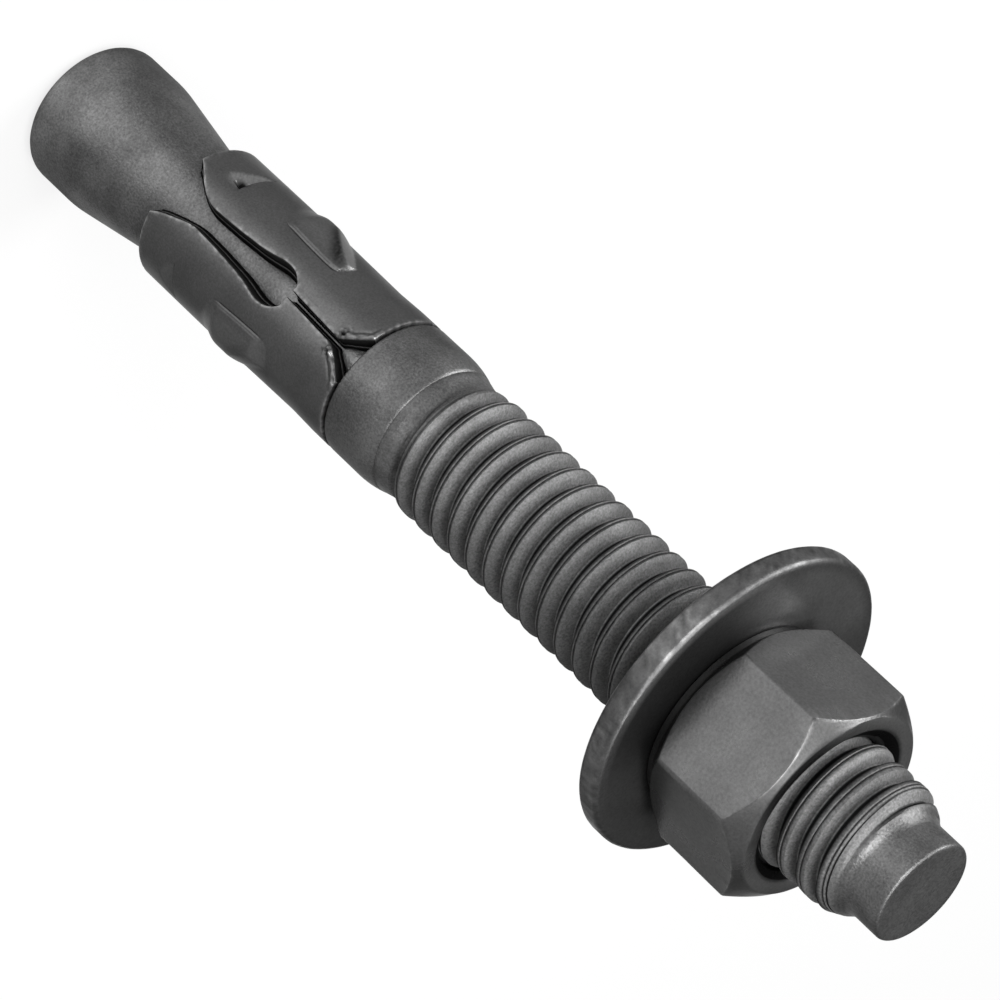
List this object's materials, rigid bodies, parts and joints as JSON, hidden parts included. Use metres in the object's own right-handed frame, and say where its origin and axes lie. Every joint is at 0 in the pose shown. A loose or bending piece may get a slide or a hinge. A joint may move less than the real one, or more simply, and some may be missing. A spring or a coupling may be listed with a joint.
{
  "type": "wedge anchor",
  "caption": "Dark grey wedge anchor for concrete: a stud with a cone end, a slotted expansion clip, a rolled thread, a flat washer and a hex nut.",
  "frame": {"origin": "centre of the cone's flat end face, which the anchor stands on", "axes": "+Z along the anchor's axis to the threaded tip; -Y towards the seam of the clip; +X to the right when the seam is in front"},
  "size_m": [0.0207, 0.0206, 0.0762],
  "materials": {
    "stud_steel": "semi_gloss",
    "clip_steel": "semi_gloss",
    "washer_steel": "semi_gloss",
    "nut_steel": "semi_gloss"
  },
  "bodies": {
    "stud": {"anchor_stud": "stud_steel"},
    "clip": {"expansion_clip": "clip_steel"},
    "washer": {"washer": "washer_steel"},
    "nut": {"hex_nut": "nut_steel"}
  },
  "joints": [
    {"name": "clip_turn", "type": "hinge", "parent": "stud", "child": "clip", "pos_m": [0, 0, 0.02055], "axis": [0, 0, 1], "continuous": true},
    {"name": "washer_travel", "type": "slide", "parent": "stud", "child": "washer", "axis": [0, 0, 1], "range_m": [-0.02382, 0.00953]},
    {"name": "nut_turn", "type": "hinge", "parent": "washer", "child": "nut", "pos_m": [0, 0, 0.0646], "axis": [0, 0, 1], "range_deg": [-5400, 2160]}
  ],
  "couplings": [
    {"joint": "washer_travel", "follows": "nut_turn", "m_per_rad": 0.00025266}
  ]
}
